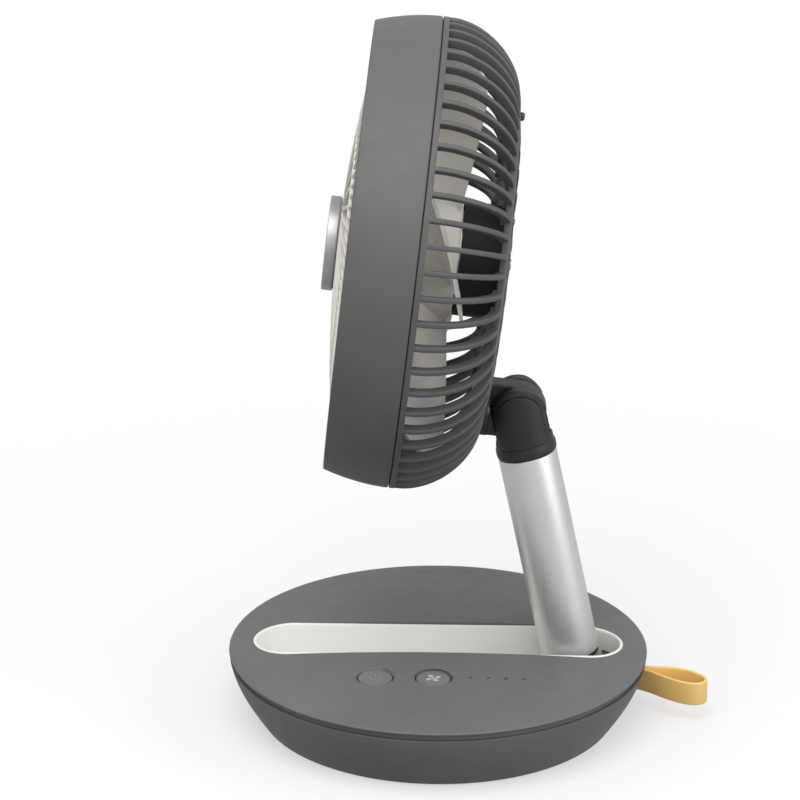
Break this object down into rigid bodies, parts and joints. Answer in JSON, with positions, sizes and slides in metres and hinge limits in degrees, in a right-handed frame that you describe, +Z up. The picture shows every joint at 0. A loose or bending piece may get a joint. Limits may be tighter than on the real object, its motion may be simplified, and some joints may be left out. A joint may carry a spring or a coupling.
{
  "type": "portable camping fan",
  "caption": "Foldable battery table fan: round weighted base, folding tube arm that lies in a trough, and a tilting caged fan head.",
  "frame": {"origin": "centre of the round rubber pad's underside, which lies on the table", "axes": "+Z up, -X the way the fan blows when the arm is raised, -Y the side with the buttons"},
  "size_m": [0.2286, 0.2168, 0.3361],
  "materials": {
    "dark_plastic": "fine-textured dark grey moulding",
    "white_plastic": "off-white satin moulding",
    "black_plastic": "black satin moulding",
    "satin_aluminium": "satin anodised",
    "zinc_steel": "plain zinc-plated",
    "pad_rubber": "matt anti-slip rubber",
    "strap_silicone": "smooth tan silicone",
    "circuit_board": "green solder mask",
    "coil_copper": "enamelled copper wire",
    "cell_sleeve": "blue shrink sleeve",
    "magnet": "sintered magnet",
    "light_guide": "clear-white light guide"
  },
  "bodies": {
    "base": {"base_bowl": "dark_plastic", "base_cover": "dark_plastic", "trough_liner": "white_plastic", "foot_pad": "pad_rubber", "ballast_plates": "zinc_steel", "battery_tray": "black_plastic", "battery_cells": "cell_sleeve", "main_board": "circuit_board", "button_switches": "black_plastic", "board_lights": "light_guide", "light_pipes": "light_guide", "board_screws": "zinc_steel", "charge_board": "circuit_board", "charge_socket": "zinc_steel", "base_screws": "zinc_steel", "strap": "strap_silicone", "strap_anchor": "black_plastic", "arm_stop": "pad_rubber", "foot_bracket": "zinc_steel", "foot_pin": "zinc_steel", "foot_washers": "satin_aluminium"},
    "power_key": {"power_button": "dark_plastic"},
    "speed_key": {"speed_button": "dark_plastic"},
    "arm": {"arm_tube": "satin_aluminium", "foot_plug": "black_plastic", "arm_wiring": "black_plastic", "elbow_knuckle": "black_plastic", "elbow_caps": "black_plastic", "elbow_pin": "zinc_steel"},
    "elbow_core": {"friction_bush": "satin_aluminium"},
    "head": {"head_bracket": "black_plastic", "bracket_screws": "zinc_steel", "rear_guard": "dark_plastic", "rear_feet": "pad_rubber", "front_ring": "dark_plastic", "front_guard": "white_plastic", "hub_cap": "satin_aluminium", "motor_housing": "black_plastic", "motor_screws": "zinc_steel", "bearings": "zinc_steel", "stator_core": "zinc_steel", "stator_coils": "coil_copper", "motor_board": "circuit_board"},
    "rotor": {"rotor_bell": "zinc_steel", "rotor_magnet": "magnet", "motor_shaft": "zinc_steel", "impeller": "white_plastic", "impeller_nut": "satin_aluminium"}
  },
  "joints": [
    {"name": "arm_fold", "type": "hinge", "parent": "base", "child": "arm", "pos_m": [0.0648, 0, 0.024], "axis": [0, 1, 0], "range_deg": [-77.6, 0]},
    {"name": "elbow_swing", "type": "hinge", "parent": "arm", "child": "elbow_core", "pos_m": [0.03667, 0, 0.15194], "axis": [0, 1, 0], "range_deg": [-0.05, 143.25]},
    {"name": "head_tilt", "type": "hinge", "parent": "elbow_core", "child": "head", "pos_m": [0.03667, 0, 0.15194], "axis": [0, 1, 0], "range_deg": [-8, 18]},
    {"name": "fan_spin", "type": "hinge", "parent": "head", "child": "rotor", "pos_m": [-0.01176, 0, 0.22792], "axis": [-0.9938, 0, 0.1115], "continuous": true},
    {"name": "power_press", "type": "slide", "parent": "base", "child": "power_key", "axis": [0, 0, -1], "range_m": [0, 0.001], "stiffness_N_per_m": 800},
    {"name": "speed_press", "type": "slide", "parent": "base", "child": "speed_key", "axis": [0, 0, -1], "range_m": [0, 0.001], "stiffness_N_per_m": 800}
  ],
  "couplings": [
    {"joint": "elbow_swing", "follows": "arm_fold", "ratio": -1.8454}
  ]
}
